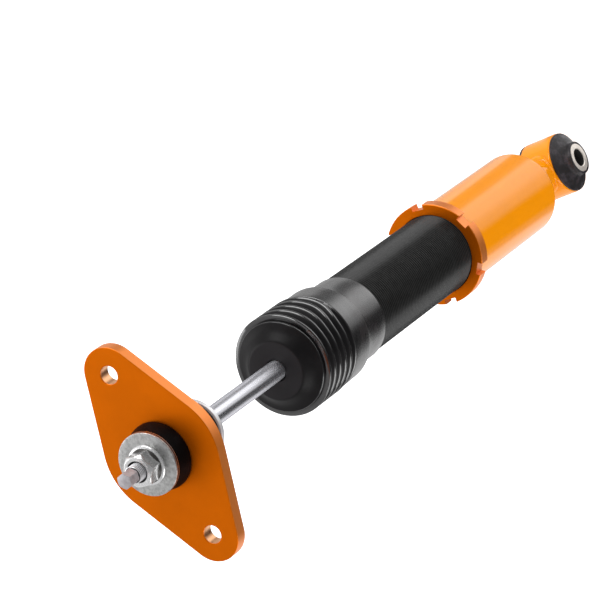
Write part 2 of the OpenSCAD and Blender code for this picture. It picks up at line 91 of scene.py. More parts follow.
def eye_span(node):
    """Length along Y and largest radius of a node that is round about the eye's axis, in mm."""
    low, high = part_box(node)
    return (high.y - low.y) / MM, high.x / MM


TUBE_Z0, TUBE_Z1, TUBE_R = span("damper_tube")
BOOT_Z0, BOOT_Z1, BOOT_R = span("dust_boot")
BOOT_RIB_Z, BOOT_FACE_Z, BOOT_RIM_R = BOOT_Z0 + 45.8, BOOT_Z1 - 6.2, 27.8
ROD_Z0, ROD_Z1, _ = span("piston_rod")
PLATE_Z0, PLATE_Z1, _ = span("top_plate")
LOW_BUSH_Z0, _, BUSH_R = span("lower_bush")
LOW_WASHER_Z0, LOW_WASHER_Z1, WASHER_R = span("lower_washer")
TOP_WASHER_Z0, TOP_WASHER_Z1, _ = span("upper_washer")
NUT_Z0, NUT_Z1, NUT_R = span("top_nut")
RING_Z0, RING_Z1, _ = span("lock_ring")
EYE_LEN, EYE_R = eye_span("eye_tube")
SLEEVE_LEN, SLEEVE_R = eye_span("bush_sleeve")


def length(name, description, default, low, high):
    """A length setting with its limits, in metres."""
    return FloatProperty(
        name=name, description=description, default=default, min=low, max=high, unit="LENGTH", precision=5
    )


def colour(name, description, default):
    """A colour setting, in linear light."""
    return FloatVectorProperty(
        name=name, description=description, subtype="COLOR", size=3, default=default, min=0, max=1
    )


class CoiloverSizes(bpy.types.PropertyGroup):
    """Sizes of the details that the pieces carry beyond the CAD solids."""

    thread_pitch: length("Tube thread pitch", "Rise of the tube thread in one turn", 0.002, 0.001, 0.004)
    thread_depth: length("Tube thread depth", "Depth of the tube thread", 0.0008, 0.0003, 0.0015)
    stud_pitch: length("Stud thread pitch", "Rise of the stud's thread in one turn", 0.00125, 0.0007, 0.002)
    boot_sag: length("Boot sag", "How far the ribs of the boot lean down on one side", 0.0045, 0.0, 0.007)
    boot_sag_side: FloatProperty(
        name="Boot sag side",
        description="Direction in which the ribs lean, from +X",
        default=math.radians(161),
        subtype="ANGLE",
    )
    weld_ripples: IntProperty(
        name="Weld ripples", description="Ripples of the weld bead round the neck", default=13, min=8, max=60
    )
    plate_break: length("Plate edge break", "Rounding of the top plate's edges", 0.0006, 0.0002, 0.0015)


class CoiloverColours(bpy.types.PropertyGroup):
    """Colours of the visible finishes, in linear light."""

    powder: colour("Powder coat", "Orange powder coat of the lower mount", (0.94, 0.305, 0.002))
    anodised: colour("Anodised", "Copper orange anodising of the plate and lock ring", (0.80, 0.165, 0.001))
    rubber: colour("Rubber", "Black rubber of the bushes", (0.015, 0.013, 0.0145))
    boot: colour("Boot", "Black rubber of the dust boot", (0.006, 0.0055, 0.006))
    black_steel: colour("Black steel", "Blackened steel of the threaded tube", (0.009, 0.009, 0.0088))
    zinc: colour("Zinc", "Zinc plate of the washers and nut", (0.63, 0.63, 0.62))
    chrome: colour("Chrome", "Hard chrome of the rod", (0.85, 0.85, 0.90))
    floor: colour("Floor", "Floor and backdrop", (0.9, 0.9, 0.9))


# ---- working by hand ----


def clear_selection():
    """Leaves object mode with nothing selected and no active object."""
    if bpy.context.object and bpy.context.object.mode != "OBJECT":
        bpy.ops.object.mode_set(mode="OBJECT")
    for o in bpy.context.selected_objects:
        o.select_set(False)
    bpy.context.view_layer.objects.active = None


def take(piece):
    """Makes a piece the only selected and active object."""
    clear_selection()
    piece.select_set(True)
    bpy.context.view_layer.objects.active = piece


def settle(piece):
    """Puts a piece's place, turn and scale into its mesh."""
    take(piece)
    bpy.ops.object.transform_apply(location=True, rotation=True, scale=True)


def spin(piece, degrees):
    """Turns a piece about the rod axis, in its mesh."""
    piece.rotation_euler = (0, 0, math.radians(degrees))
    settle(piece)


def apply(piece, kind, **values):
    """Adds a modifier with these values and applies it."""
    take(piece)
    m = piece.modifiers.new(kind.title(), kind)
    for key, value in values.items():
        setattr(m, key, value)
    bpy.ops.object.modifier_apply(modifier=m.name)


def weld_and_face_out(piece, distance=0.00001):
    """Merges doubles and turns all faces outwards."""
    take(piece)
    bpy.ops.object.mode_set(mode="EDIT")
    bpy.ops.mesh.select_all(action="SELECT")
    bpy.ops.mesh.remove_doubles(threshold=distance)
    bpy.ops.mesh.normals_make_consistent(inside=False)
    bpy.ops.object.mode_set(mode="OBJECT")


def smooth(piece, degrees=32):
    """Shades a piece smooth, apart from edges sharper than this angle."""
    take(piece)
    bpy.ops.object.shade_smooth_by_angle(angle=math.radians(degrees), keep_sharp_edges=True)


def keep_faces_flat(piece):
    """Weighs the normals by area, so that broad flat faces stay flat beside their rounded edges."""
    apply(piece, "WEIGHTED_NORMAL", mode="FACE_AREA", weight=100, keep_sharp=True)


def added(name):
    """The object that was just added, under this name."""
    o = bpy.context.active_object
    o.name = o.data.name = name
    return o


def section(name, points):
    """A section in the XZ plane, drawn from one vertex by extruding it from point to point; mm."""
    clear_selection()
    r, z = points[0]
    bpy.ops.mesh.primitive_plane_add(size=MM, location=(r * MM, 0, z * MM))
    piece = added(name)
    bpy.ops.object.mode_set(mode="EDIT")
    bpy.ops.mesh.select_all(action="SELECT")
    bpy.ops.mesh.merge(type="CENTER")
    for (r0, z0), (r1, z1) in zip(points, points[1:]):
        step = ((r1 - r0) * MM, 0, (z1 - z0) * MM)
        bpy.ops.mesh.extrude_region_move(TRANSFORM_OT_translate={"value": step})
    bpy.ops.object.mode_set(mode="OBJECT")
    settle(piece)
    return piece


def turned(name, points, steps=128, closed=True):
    """A piece turned about Z from its section of (radius, z) points in mm."""
    piece = section(name, points + points[:1] if closed else points)
    apply(
        piece, "SCREW", axis="Z", angle=TURN, steps=steps, render_steps=steps,
        use_merge_vertices=True, merge_threshold=1e-7, use_smooth_shade=True,
    )
    weld_and_face_out(piece)
    return piece


def arc(r, z, radius, first, last, steps=6):
    """Points of an arc round (r, z), from one angle to the other in degrees."""
    angles = [math.radians(first + (last - first) * i / steps) for i in range(steps + 1)]
    return [(r + radius * math.cos(a), z + radius * math.sin(a)) for a in angles]


def lay_along_y(piece):
    """Turns a piece made about Z so that its axis is Y."""
    piece.rotation_euler = (math.radians(-90), 0, 0)
    settle(piece)
    return piece


def cut(piece, tool, operation="DIFFERENCE"):
    """Boolean of a piece with a tool, which is then thrown away."""
    apply(piece, "BOOLEAN", operation=operation, solver="EXACT", object=tool)
    bpy.data.objects.remove(tool)


def bar(name, radius, z0, z1, vertices=64, x=0.0, y=0.0):
    """A plain cylinder or prism between two heights, as a tool or a start; mm."""
    clear_selection()
    middle = (x * MM, y * MM, (z0 + z1) / 2 * MM)
    bpy.ops.mesh.primitive_cylinder_add(
        vertices=vertices, radius=radius * MM, depth=(z1 - z0) * MM, location=middle
    )
    piece = added(name)
    settle(piece)
    return piece


def join(first, *others):
    """Makes one object of several."""
    take(first)
    for o in others:
        o.select_set(True)
    bpy.ops.object.join()
    return first


def widen(vertex, share):
    """Moves a vertex to a share of its distance from the rod axis."""
    vertex.co.x *= share
    vertex.co.y *= share


def helix(name, points, pitch, z0, z1, root, steps):
    """Thread flanks wound about Z between two heights, in mm.

    Both ends run out flat, so that they meet plain rings of the root radius.
    """
    piece = section(name, [(r, z + z0 - pitch) for r, z in points])
    apply(
        piece, "SCREW", axis="Z", angle=TURN, screw_offset=pitch * MM, iterations=int((z1 - z0) / pitch) + 2,
        steps=steps, render_steps=steps, use_merge_vertices=False, use_smooth_shade=True,
    )
    for v in piece.data.vertices:
        if v.co.z <= z0 * MM or v.co.z >= z1 * MM:
            widen(v, root * MM / math.hypot(v.co.x, v.co.y))
            v.co.z = min(max(v.co.z, z0 * MM), z1 * MM)
    return piece


def mount(piece, node, *finishes):
    """Rides a piece on the body of the CAD node that it replaces, in these finishes."""
    piece.data.materials.clear()
    for name in finishes:
        piece.data.materials.append(FINISHES[name])
    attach(piece, BODY_OF[node])
    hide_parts(node)
    clear_selection()


def paint(piece, pick):
    """Gives each face the finish whose number pick returns for it, its distance from the axis and its height."""
    for face in piece.data.polygons:
        x, y, z = face.center
        face.material_index = pick(face, math.hypot(x, y) / MM, z / MM)


# ---- shader groups ----


class Tree:
    """Short writing for node trees."""

    def __init__(self, tree):
        self.tree = tree

    def add(self, kind, **values):
        """A new node: values whose names start with i_ go to its inputs, the others are its settings."""
        n = self.tree.nodes.new(kind)
        for key, value in values.items():
            if key.startswith("i_"):
                n.inputs[key[2:].replace("_", " ")].default_value = value
            else:
                setattr(n, key, value)
        return n

    def wire(self, source, target):
        """Links a socket to an input, or sets the input to a number or a colour."""
        if isinstance(source, (tuple, Color)):
            target.default_value = (*source, 1.0)
        elif isinstance(source, (int, float)):
            target.default_value = source
        else:
            self.tree.links.new(source, target)

    def put(self, node, **sources):
        """Wires or sets inputs of a node by name."""
        for key, source in sources.items():
            self.wire(source, node.inputs[key.replace("_", " ")])
        return node

    def maths(self, operation, *sources):
        """One sum of numbers or sockets."""
        n = self.add("ShaderNodeMath", operation=operation)
        for source, target in zip(sources, n.inputs):
            self.wire(source, target)
        return n.outputs[0]

    def vary(self, source, change, start):
        """The start, plus a change times the source."""
        return self.maths("ADD", self.maths("MULTIPLY", source, change), start)

    def step(self, source, low, high):
        """A soft step from 0 at one value to 1 at the other."""
        n = self.add("ShaderNodeMapRange", interpolation_type="SMOOTHSTEP")
        return self.put(n, Value=source, From_Min=low, From_Max=high).outputs["Result"]

    def between(self, source, low, high, soft_from, soft_to):
        """1 between two heights, with a soft step from one distance to the other inside each end; mm."""
        rise = self.step(source, (low + soft_from) * MM, (low + soft_to) * MM)
        fall = self.step(source, (high - soft_from) * MM, (high - soft_to) * MM)
        return self.maths("MULTIPLY", rise, fall)

    def place(self):
        return self.add("ShaderNodeTexCoord").outputs["Object"]

    def height_and_radius(self):
        """Height along the rod axis and distance from it, in metres."""
        parts = self.add("ShaderNodeSeparateXYZ")
        self.wire(self.place(), parts.inputs[0])
        x, y = parts.outputs["X"], parts.outputs["Y"]
        squares = self.maths("ADD", self.maths("MULTIPLY", x, x), self.maths("MULTIPLY", y, y))
        return parts.outputs["Z"], self.maths("SQRT", squares)

    def noise(self, vector, scale, detail, rough):
        n = self.add("ShaderNodeTexNoise")
        return self.put(n, Vector=vector, Scale=scale, Detail=detail, Roughness=rough).outputs["Fac"]

    def blend(self, factor, a, b):
        """A mix of two colours, each a tuple or a socket."""
        n = self.add("ShaderNodeMix", data_type="RGBA")
        self.wire(factor, n.inputs["Factor"])
        for source, target in zip((a, b), [s for s in n.inputs if s.type == "RGBA"]):
            self.wire(source, target)
        return next(s for s in n.outputs if s.type == "RGBA")

    def mix_shaders(self, factor, a, b):
        """The first shader where the factor is 0, the second where it is 1."""
        n = self.add("ShaderNodeMixShader")
        for source, target in zip((factor, a, b), n.inputs):
            self.wire(source, target)
        return n.outputs[0]


def group(name, inputs, outputs):
    """An empty shader group with float inputs and their defaults, and outputs of which Normal is a vector."""
    g = bpy.data.node_groups.new(name, "ShaderNodeTree")
    for label, default in inputs.items():
        g.interface.new_socket(name=label, in_out="INPUT", socket_type="NodeSocketFloat").default_value = default
    for label in outputs:
        kind = "NodeSocketVector" if label == "Normal" else "NodeSocketFloat"
        g.interface.new_socket(name=label, in_out="OUTPUT", socket_type=kind)
    return g, Tree(g), g.nodes.new("NodeGroupInput").outputs, g.nodes.new("NodeGroupOutput").inputs


def raise_pattern(t, given, results, pattern, distance):
    """Ends a group with the normal and the value of a pattern, raised by the group's Depth."""
    bump = t.put(t.add("ShaderNodeBump"), Strength=given["Depth"], Distance=distance, Height=pattern)
    t.wire(bump.outputs["Normal"], results["Normal"])
    t.wire(pattern, results["Value"])


def make_groups():
    """The effects that several finishes share."""
    made = {}
    made["grain"], t, given, results = group(
        "Fine grain", {"Scale": 900.0, "Depth": 0.2, "Distance": 0.0001}, ("Normal", "Value")
    )
    raise_pattern(t, given, results, t.noise(t.place(), given["Scale"], 4.0, 0.6), given["Distance"])

    made["blotches"], t, given, results = group("Blotches", {"Scale": 60.0, "Low": 0.35, "High": 0.65}, ("Mask",))
    clouds = t.noise(t.place(), given["Scale"], 5.0, 0.6)
    t.wire(t.step(clouds, given["Low"], given["High"]), results["Mask"])

    made["dust"], t, given, results = group("Dust", {"Scale": 90.0, "Size": 0.06}, ("Mask",))
    cells = t.put(t.add("ShaderNodeTexVoronoi"), Vector=t.place(), Scale=given["Scale"], Randomness=1.0)
    few = t.maths("GREATER_THAN", cells.outputs["Color"], 0.62)
    near = t.maths("LESS_THAN", cells.outputs["Distance"], given["Size"])
    t.wire(t.maths("MULTIPLY", near, few), results["Mask"])

    made["marks"], t, given, results = group("Tool marks", {"Scale": 2500.0, "Depth": 0.15}, ("Normal", "Value"))
    z, radius = t.height_and_radius()
    line = t.put(t.add("ShaderNodeCombineXYZ"), X=radius, Y=t.maths("MULTIPLY", z, 0.6))
    raise_pattern(t, given, results, t.noise(line.outputs[0], given["Scale"], 2.0, 0.7), 0.00005)
    return made


GROUPS = {}
FINISHES = {}


# ---- finishes ----


class Finish(Tree):
    """A material with one Principled shader, whose constants are set on its own sockets."""

    def __init__(self, name, **sockets):
        self.material = bpy.data.materials.new(name)
        self.material.use_nodes = True
        super().__init__(self.material.node_tree)
        self.shader = next(n for n in self.tree.nodes if n.type == "BSDF_PRINCIPLED")
        for key, value in sockets.items():
            label = key.replace("_", " ")
            coloured = label.endswith(("Color", "Tint"))
            self.shader.inputs[label].default_value = (*value, 1.0) if coloured else value
        self.material.diffuse_color = (*sockets["Base_Color"], 1.0)
        FINISHES[name] = self.material

    def use(self, effect, **values):
        """Places a shared group with values of its own."""
        return self.put(self.add("ShaderNodeGroup", node_tree=GROUPS[effect]), **values).outputs

    def feed(self, label, source):
        self.wire(source, self.shader.inputs[label])

    def relief(self, effect, scale, depth, distance=None):
        """Raises the surface by a shared effect, and returns the effect's value."""
        deeper = {"Distance": distance} if distance else {}
        made = self.use(effect, Scale=scale, Depth=depth, **deeper)
        self.feed("Normal", made["Normal"])
        return made["Value"]

    def blotches(self, scale, low, high):
        return self.use("blotches", Scale=scale, Low=low, High=high)["Mask"]


def scaled(shade, factor):
    return tuple(min(1.0, c * factor) for c in shade)


def marked_finish(name, scale, depth, change, least, **sockets):
    """A turned or polished metal, whose roughness follows its tool marks."""
    f = Finish(name, Roughness=least + change / 2, **sockets)
    f.feed("Roughness", f.vary(f.relief("marks", scale, depth), change, least))


def grained_finish(name, scale, depth, hollow, crest, **sockets):
    """A finish whose colour follows its fine grain."""
    f = Finish(name, **sockets)
    f.feed("Base Color", f.blend(f.relief("grain", scale, depth), hollow, crest))


def blotched_finish(name, relief, blotches, plain, blotched, rough=None, **sockets):
    """A finish with a relief, whose colour and, where given, roughness follow its blotches."""
    f = Finish(name, **sockets)
    f.relief(*relief)
    mask = f.blotches(*blotches)
    f.feed("Base Color", f.blend(mask, plain, blotched))
    if rough:
        f.feed("Roughness", f.vary(mask, *rough))


def copper_anodised(c):
    """The anodised plate and lock ring, whose turned and milled edges are shinier than their faces and painted paler,
    as a painted highlight.
    """
    f = Finish(
        "copper_anodised", Base_Color=c.anodised, Metallic=0.88, Roughness=0.50,
        Specular_IOR_Level=0.0, Coat_Weight=0.5, Coat_Roughness=0.4,
    )
    marks = f.relief("marks", 1800.0, 0.10)
    face = f.blend(f.blotches(34.0, 0.3, 0.7), c.anodised, scaled(c.anodised, 0.93))
    z, _ = f.height_and_radius()
    plate_edge = f.between(z, PLATE_Z0, PLATE_Z1, 0.05, 0.4)
    ring_edge = f.between(z, RING_Z0, RING_Z1, 0.05, 0.4)
    edge = f.maths("MAXIMUM", plate_edge, ring_edge)
    # the edges are painted paler and less metallic than the faces: a painted highlight
    f.feed("Metallic", f.vary(edge, -0.14, 0.88))
    f.feed("Base Color", f.blend(edge, face, (0.95, 0.27, 0.03)))
    f.feed("Coat Weight", f.maths("MULTIPLY", edge, 0.8))
    f.feed("Roughness", f.vary(marks, 0.12, 0.39))


def black_steel(c):
    """The blackened tube, whose thread crests are painted paler: partly wear, partly a painted highlight standing in
    for the thread's glints.
    """
    f = Finish("black_steel", Base_Color=c.black_steel, Roughness=0.27, Specular_IOR_Level=0.24)
    f.relief("grain", 700.0, 0.12)
    dull = f.blend(f.blotches(120.0, 0.4, 0.75), c.black_steel, scaled(c.black_steel, 1.8))
    z, radius = f.height_and_radius()
    # paler thread crests: partly wear, partly a painted highlight standing in for glints
    crest = f.step(radius, (TUBE_R - 0.16) * MM, (TUBE_R - 0.04) * MM)
    thread = f.step(z, (TUBE_Z1 - 6.0) * MM, (TUBE_Z1 - 8.0) * MM)
    f.feed("Base Color", f.blend(f.maths("MULTIPLY", crest, thread), dull, scaled(c.black_steel, 3.4)))


def stud_thread():
    """The stud's thread, painted dark in its roots as painted shade and pale on its crests as a painted highlight."""
    f = Finish("stud_thread", Base_Color=(0.80, 0.79, 0.80), Metallic=0.75, Roughness=0.36)
    f.relief("grain", 900.0, 0.08)
    _, radius = f.height_and_radius()
    # dark roots are painted shade, pale crests a painted highlight
    f.feed("Base Color", f.blend(f.step(radius, 4.4 * MM, 4.85 * MM), (0.07, 0.067, 0.07), (0.94, 0.93, 0.95)))


def black_rubber(c):
    """The eye's rubber, with a pale bloom and a little dust."""
    f = Finish("black_rubber", Base_Color=c.rubber, Roughness=0.5, Specular_IOR_Level=0.42)
    f.relief("grain", 900.0, 0.35)
    bloom = f.blotches(170.0, 0.42, 0.72)
    skin = f.blend(bloom, c.rubber, (0.052, 0.043, 0.052))
    dust = f.use("dust", Scale=130.0, Size=0.035)["Mask"]
    f.feed("Base Color", f.blend(dust, skin, (0.45, 0.44, 0.42)))
    f.feed("Roughness", f.vary(bloom, -0.14, 0.58))


def boot_stretched(c):
    """The boot's cuff and band, which shine softly where they are stretched over the tube."""
    f = Finish(
        "boot_stretched", Base_Color=scaled(c.boot, 1.2), Roughness=0.45, Specular_IOR_Level=0.2,
        Coat_Weight=0.9, Coat_Roughness=0.27, Coat_IOR=2.2,
    )
    f.relief("grain", 800.0, 0.12)
    scuff = f.blotches(55.0, 0.38, 0.72)
    f.feed("Base Color", f.blend(scuff, c.boot, (0.022, 0.017, 0.018)))
    f.feed("Coat Weight", f.vary(scuff, -0.22, 0.92))


def boot_rubber(c):
    """The boot's ribs and face: polished on the crests and the rim of the face, dull elsewhere."""
    f = Finish(
        "boot_rubber", Base_Color=c.boot, Roughness=0.45, Specular_IOR_Level=0.14,
        Coat_Weight=1.0, Coat_Roughness=0.14, Coat_IOR=2.2,
    )
    f.relief("grain", 1100.0, 0.10)
    bloom = f.blotches(70.0, 0.4, 0.8)
    f.feed("Roughness", f.vary(bloom, 0.12, 0.40))
    z, radius = f.height_and_radius()
    crest = f.step(radius, (BOOT_R - 0.9) * MM, (BOOT_R - 0.3) * MM)
    near_face = f.step(z, (BOOT_FACE_Z - 2.8) * MM, (BOOT_FACE_Z - 2.2) * MM)
    rim = f.maths("MULTIPLY", near_face, f.step(radius, (BOOT_RIM_R - 0.6) * MM, (BOOT_RIM_R - 0.1) * MM))
    shine = f.maths("MAXIMUM", crest, rim)
    f.feed("Coat Weight", f.maths("MULTIPLY", shine, f.vary(bloom, -0.18, 0.86)))
    # the disc on top of the face is painted paler, as a painted highlight
    on_top = f.step(z, (BOOT_Z1 - 0.4) * MM, (BOOT_Z1 - 0.1) * MM)
    disc = f.maths("MULTIPLY", on_top, f.step(radius, 18.0 * MM, 17.0 * MM))
    skin = f.blend(disc, f.blend(bloom, c.boot, scaled(c.boot, 1.5)), scaled(c.boot, 2.6))
    dust = f.use("dust", Scale=60.0, Size=0.022)["Mask"]
    f.feed("Base Color", f.blend(dust, skin, (0.35, 0.34, 0.33)))


def make_finishes(c):
    """Every finish, by the record's slot name, plus the extra ones that pieces use."""
    blotched_finish(
        "orange_powder_coat", ("grain", 260.0, 0.03, 0.0002), (26.0, 0.3, 0.75),
        c.powder, scaled(c.powder, 0.95), rough=(0.04, 0.03),
        Base_Color=c.powder, Roughness=0.07, IOR=1.5,
    )
    copper_anodised(c)
    marked_finish("bright_bore", 1500.0, 0.08, 0.12, 0.28, Base_Color=(0.93, 0.50, 0.26), Metallic=0.9)
    black_steel(c)
    blotched_finish(
        "raw_steel", ("marks", 2400.0, 0.2), (220.0, 0.35, 0.7), (0.95, 0.88, 0.81), (0.80, 0.73, 0.65),
        Base_Color=(0.90, 0.84, 0.78), Metallic=0.62, Roughness=0.34,
    )
    blotched_finish(
        "zinc_steel", ("grain", 1500.0, 0.34), (460.0, 0.34, 0.70), c.zinc, scaled(c.zinc, 0.66),
        rough=(0.16, 0.30), Base_Color=c.zinc, Metallic=1.0, Roughness=0.40,
    )
    # the nut's crown and collar and its flats are lit and shaded copies of one zinc: the flats are painted darker
    # than the crown and collar, as painted shade
    for name, pale, metal in (("bright_zinc", (0.90,) * 3, 0.78), ("side_zinc", (0.64,) * 3, 0.86)):
        blotched_finish(
            name, ("grain", 900.0, 0.05), (260.0, 0.35, 0.68), pale, scaled(pale, 0.86),
            rough=(0.08, 0.24), Base_Color=pale, Metallic=metal, Roughness=0.28,
        )
    # the corner between the nut's hexagon and its collar, and its countersink, are painted dark as painted shade
    grained_finish(
        "oiled_collar", 700.0, 0.1, (0.045, 0.043, 0.042), (0.11, 0.105, 0.10),
        Base_Color=(0.07, 0.068, 0.066), Metallic=0.7, Roughness=0.34,
    )
    grained_finish(
        "oiled_bore", 900.0, 0.1, (0.025, 0.024, 0.024), (0.06, 0.057, 0.055),
        Base_Color=(0.035, 0.033, 0.033), Metallic=0.3, Roughness=0.45,
    )
    stud_thread()
    blotched_finish(
        "stud_steel", ("grain", 1300.0, 0.25), (300.0, 0.35, 0.7), (0.54, 0.52, 0.54), (0.40, 0.37, 0.39),
        Base_Color=(0.50, 0.48, 0.50), Metallic=0.6, Roughness=0.46,
    )
    grained_finish(
        "pale_zinc", 1300.0, 0.15, (0.88, 0.88, 0.89), (0.80, 0.80, 0.81),
        Base_Color=(0.85, 0.85, 0.86), Metallic=0.6, Roughness=0.42,
    )
    # round polishing marks draw the rod's reflections out along it
    marked_finish(
        "rod_chrome", 900.0, 0.03, 0.04, 0.22, Base_Color=c.chrome, Metallic=0.92,
        Anisotropic=1.0, Anisotropic_Rotation=0.25, Specular_Tint=(0.35, 0.35, 0.37),
    )
    marked_finish(
        "machined_aluminium", 2000.0, 0.25, 0.2, 0.22, Base_Color=(0.72, 0.73, 0.74), Metallic=1.0
    )
    grained_finish(
        "sintered_iron", 2600.0, 0.5, (0.24, 0.24, 0.25), (0.42, 0.42, 0.43),
        Base_Color=(0.33, 0.33, 0.34), Metallic=1.0, Roughness=0.55,
    )
    black_rubber(c)
    blotched_finish(
        "bush_black", ("grain", 1200.0, 0.3), (120.0, 0.4, 0.8), scaled(c.rubber, 0.12), scaled(c.rubber, 0.4),
        Base_Color=scaled(c.rubber, 0.2), Roughness=0.5, Specular_IOR_Level=0.07,
    )
    boot_stretched(c)
    boot_rubber(c)
    grained_finish(
        "cushion_foam", 1800.0, 0.8, (0.13, 0.12, 0.09), (0.26, 0.24, 0.19),
        Base_Color=(0.20, 0.185, 0.14), Roughness=0.85,
    )
    grained_finish(
        "stop_polymer", 600.0, 0.15, (0.36, 0.26, 0.06), (0.48, 0.36, 0.10),
        Base_Color=(0.42, 0.31, 0.08), Roughness=0.5, Subsurface_Weight=0.1,
    )
    grained_finish(
        "band_polymer", 1700.0, 0.2, (0.055, 0.032, 0.018), (0.10, 0.062, 0.035),
        Base_Color=(0.075, 0.045, 0.025), Roughness=0.5,
    )


# ---- pieces ----


class COILOVER_OT_finishes(bpy.types.Operator):
    """Makes the shared shader groups and gives every CAD node its finish"""

    bl_idname = "coilover.finishes"
    bl_label = "Finishes"

    def execute(self, context):
        GROUPS.update(make_groups())
        make_finishes(context.scene.coilover_colours)
        for name, node in NODES.items():
            slot = SLOT_OF.get(name)
            if slot not in FINISHES:
                raise RuntimeError(f"no finish for node {name}")
            node.data.materials.clear()
            node.data.materials.append(FINISHES[slot])
        return {"FINISHED"}


class COILOVER_OT_tube(bpy.types.Operator):
    """Threaded damper tube with a true helical thread"""

    bl_idname = "coilover.tube"
    bl_label = "Threaded tube"

    def execute(self, context):
        sizes = context.scene.coilover_sizes
        pitch, root = sizes.thread_pitch / MM, TUBE_R - sizes.thread_depth / MM
        low, high, bore = TUBE_Z0 + 3, TUBE_Z1 - 7.2, TUBE_R - 3
        clip_low, clip_high, clip_r = TUBE_Z1 - 5, TUBE_Z1 - 3.5, bore + 1.2
        flanks = [
            (TUBE_R, 0.0), (TUBE_R, 0.12 * pitch), (root, 0.46 * pitch), (root, 0.66 * pitch), (TUBE_R, pitch)
        ]
        thread = helix("threaded_tube", flanks, pitch, low, high, root, 96)
        wall = [(root, low), (root, TUBE_Z0 + 0.4), (root - 0.4, TUBE_Z0), (bore + 0.3, TUBE_Z0)]
        wall += [(bore, TUBE_Z0 + 0.3), (bore, clip_low), (clip_r, clip_low), (clip_r, clip_high), (bore, clip_high)]
        wall += [(bore, TUBE_Z1 - 0.4), (bore + 0.4, TUBE_Z1), (TUBE_R - 1, TUBE_Z1), (TUBE_R, TUBE_Z1 - 1)]
        wall += [(TUBE_R, high + 1.2), (root, high)]
        piece = join(thread, turned("tube_body", wall, steps=96, closed=False))
        weld_and_face_out(piece)
        smooth(piece, 25)
        mount(piece, "damper_tube", "black_steel")
        return {"FINISHED"}


class COILOVER_OT_boot(bpy.types.Operator):
    """Moulded dust boot with soft ribs, band and cuff, and the foam cushion inside it"""

    bl_idname = "coilover.boot"
    bl_label = "Dust boot"

    def boot_section(self, band_z):
        """Outer and inner outline of the boot, from its cuff on the tube up to its face."""
        z0, z1, rib_z, face_z = BOOT_Z0, BOOT_Z1, BOOT_RIB_Z, BOOT_FACE_Z
        grip, cuff, band = TUBE_R + 0.05, TUBE_R + 0.85, 30.3
        crest, groove, ribs, pitch = BOOT_R, BOOT_R - 2.7, 5, 6.55
        cavity, wall = groove - 3.8, 3.5
        outer = [(grip, z0 + 0.3), (grip + 0.2, z0), (cuff - 0.25, z0)] + arc(cuff - 0.25, z0 + 0.25, 0.25, -60, 0, 3)
        outer += [(cuff, z0 + 8), (cuff, z0 + 16), (cuff, band_z - 1.6)]
        outer += [(cuff + 0.15, band_z - 0.9), (cuff + 0.7, band_z - 0.25)]
        outer += arc(band - 1.3, band_z + 1.3, 1.3, -80, 0, 6)
        outer += [(band + 0.1, band_z + 6), (band + 0.25, band_z + 12)] + arc(band - 0.6, rib_z - 1.0, 1.0, 0, 70, 5)
        for i in range(1, ribs + 1):
            z = rib_z + i * pitch
            outer += arc(groove + 0.45, z - pitch / 2, 0.45, -150, -210, 3)
            outer += arc(crest - 0.95, z, 0.95, -66, 66, 8)
        outer += arc(BOOT_RIM_R - 0.2, face_z - 2.35, 0.45, -160, -200, 2)
        outer += arc(BOOT_RIM_R - 1.2, face_z - 1.2, 1.2, -10, 72, 7)
        outer += [(24.5, face_z + 0.75), (21.5, face_z + 2.75), (19.2, face_z + 4.9), (18.1, face_z + 5.8)]
        outer += [(17.3, face_z + 6.15), (16.6, z1), (12.0, z1), (7.4, z1)] + arc(7.4, z1 - 0.8, 0.8, 90, 180, 4)
        inner = [(7.2, z1 - wall), (17.6, z1 - wall), (cavity, face_z - wall)]
        return outer + inner + [(cavity, TUBE_Z1 + 0.3), (grip, TUBE_Z1 + 0.3)]

    def lean(self, piece, sizes, band_z):
        """Leans the ribs down on one side, and draws the band in a little under them."""
        heights = [band_z + 3, band_z + 12] + [BOOT_RIB_Z + up for up in (0, 6.4, 12.8, 19.2, 25.6, 32)]
        heights += [BOOT_FACE_Z, BOOT_Z1]
        levels = list(zip(heights, (0.0, 0.1, 0.35, 0.9, 1.0, 0.66, 0.42, 0.06, -0.1, 0.0)))
        for v in piece.data.vertices:
            r, z = math.hypot(v.co.x, v.co.y) / MM, v.co.z / MM
            if r < 25.6 or z < heights[0]:
                continue
            away = abs((math.atan2(v.co.y, v.co.x) - sizes.boot_sag_side + math.pi) % TURN - math.pi)
            pull = min(1.0, max(0.0, 1.6 - away / math.radians(38)))
            pull = pull * pull * (3 - 2 * pull)
            pairs = zip(levels, levels[1:])
            share = next((a + (b - a) * (z - p) / (q - p) for (p, a), (q, b) in pairs if p <= z <= q), 0.0)
            v.co.z -= sizes.boot_sag * pull * share
            if z < BOOT_RIB_Z + 3:
                widen(v, 1 - 0.018 * pull * min(1.0, (z - heights[0]) / 10))

    def execute(self, context):
        band_z = BOOT_Z0 + 26.5
        piece = turned("dust_boot_rubber", self.boot_section(band_z), steps=160)
        self.lean(piece, context.scene.coilover_sizes, band_z)
        smooth(piece, 40)
        mount(piece, "dust_boot", "boot_rubber", "boot_stretched")
        paint(piece, lambda face, away, z: 1 if z < BOOT_RIB_Z + 0.2 else 0)

        low, high, r = span("bump_cushion")
        hole, waist = 7.5, (low + high) / 2
        foam = [(hole, low + 0.6), (hole + 0.6, low), (r - 1.5, low)] + arc(r - 1.5, low + 1.5, 1.5, -70, 0, 4)
        foam += [(r, waist - 3.4)] + arc(r + 0.6, waist, 3.0, 250, 110, 8) + [(r, waist + 3.4)]
        foam += arc(r - 3, high - 3, 3, 0, 80, 5) + [(hole + 2, high), (hole, high - 2)]
        piece = turned("bump_foam", foam, steps=96)
        smooth(piece, 40)
        mount(piece, "bump_cushion", "cushion_foam")
        return {"FINISHED"}


